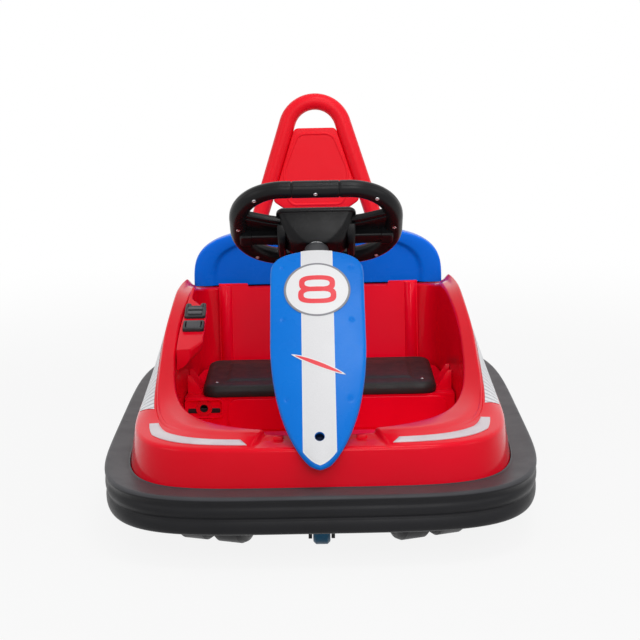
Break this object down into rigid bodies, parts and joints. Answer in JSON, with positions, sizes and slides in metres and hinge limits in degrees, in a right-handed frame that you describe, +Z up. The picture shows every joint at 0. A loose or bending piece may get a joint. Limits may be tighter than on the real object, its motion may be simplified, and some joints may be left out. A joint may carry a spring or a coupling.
{
  "type": "children's electric go-kart",
  "caption": "Small ride-on electric kart with a boat-shaped moulded tub inside an all-round bumper, swivel front casters, driven rear wheels, tilted steering wheel and hoop headrest.",
  "frame": {"origin": "on the floor under the middle of the bumper ring", "axes": "+Z up, the nose faces -Y, +X is the driver's left"},
  "size_m": [0.632, 0.92, 0.5839],
  "materials": {
    "red_shell": "glossy injection-moulded polypropylene",
    "red_hoop": "satin blow-moulded polyethylene",
    "blue": "satin to glossy injection-moulded polypropylene",
    "white_print": "printed vinyl sticker",
    "lamp": "frosted translucent lamp lens",
    "black_bumper": "soft satin bumper ring",
    "black_moulding": "satin black moulded plastic",
    "black_chassis": "grained black moulded plastic",
    "black_tyre": "hard plastic wheel with moulded tread",
    "grey_moulding": "dark grey moulded plastic",
    "battery_case": "plastic battery case",
    "steel": "zinc-plated steel"
  },
  "bodies": {
    "kart": {"body_shell": "red_shell", "tub_floor": "red_shell", "seat_box": "red_shell", "seat_back": "red_shell", "switch_console": "red_shell", "headrest_hoop": "red_hoop", "headrest_panel": "red_hoop", "rear_cowl": "blue", "fairing": "blue", "fairing_stripe": "white_print", "number_disc": "white_print", "side_flash_left": "white_print", "side_flash_right": "white_print", "light_strip_left": "lamp", "light_strip_right": "lamp", "bumper_front": "black_bumper", "bumper_rear": "black_bumper", "seat_pad": "black_moulding", "steering_post": "black_moulding", "fairing_bracket": "black_moulding", "sound_panel": "black_moulding", "drive_switch": "black_moulding", "pedal": "black_moulding", "charge_socket": "black_moulding", "nose_bracket": "black_moulding", "chassis": "black_chassis", "gearbox_left": "grey_moulding", "gearbox_right": "grey_moulding", "battery": "battery_case", "caster_socket_left": "steel", "caster_socket_right": "steel", "rear_axle": "steel"},
    "steering": {"steering_column": "steel", "steering_hub": "black_moulding", "steering_rim": "black_moulding"},
    "caster_left": {"caster_fork_left": "grey_moulding"},
    "caster_left_wheels": {"caster_wheels_left": "black_tyre"},
    "caster_right": {"caster_fork_right": "grey_moulding"},
    "caster_right_wheels": {"caster_wheels_right": "black_tyre"},
    "drive_left": {"drive_wheel_left": "black_tyre"},
    "drive_right": {"drive_wheel_right": "black_tyre"},
    "roller": {"nose_roller": "blue"}
  },
  "joints": [
    {"name": "steering_turn", "type": "hinge", "parent": "kart", "child": "steering", "pos_m": [0, -0.06, 0.411], "axis": [0, 0.7071, 0.7071], "range_deg": [-35, 35]},
    {"name": "caster_left_swivel", "type": "hinge", "parent": "kart", "child": "caster_left", "pos_m": [0.142, -0.312, 0.1], "axis": [0, 0, 1], "continuous": true},
    {"name": "caster_left_roll", "type": "hinge", "parent": "caster_left", "child": "caster_left_wheels", "pos_m": [0.14816, -0.32891, 0.042], "axis": [0.9397, 0.342, 0], "continuous": true},
    {"name": "caster_right_swivel", "type": "hinge", "parent": "kart", "child": "caster_right", "pos_m": [-0.142, -0.312, 0.1], "axis": [0, 0, 1], "continuous": true},
    {"name": "caster_right_roll", "type": "hinge", "parent": "caster_right", "child": "caster_right_wheels", "pos_m": [-0.14816, -0.32891, 0.042], "axis": [0.9397, -0.342, 0], "continuous": true},
    {"name": "drive_left_roll", "type": "hinge", "parent": "kart", "child": "drive_left", "pos_m": [0.202, 0.296, 0.072], "axis": [1, 0, 0], "continuous": true},
    {"name": "drive_right_roll", "type": "hinge", "parent": "kart", "child": "drive_right", "pos_m": [-0.202, 0.296, 0.072], "axis": [1, 0, 0], "continuous": true},
    {"name": "roller_roll", "type": "hinge", "parent": "kart", "child": "roller", "pos_m": [0, -0.362, 0.024], "axis": [1, 0, 0], "continuous": true}
  ]
}
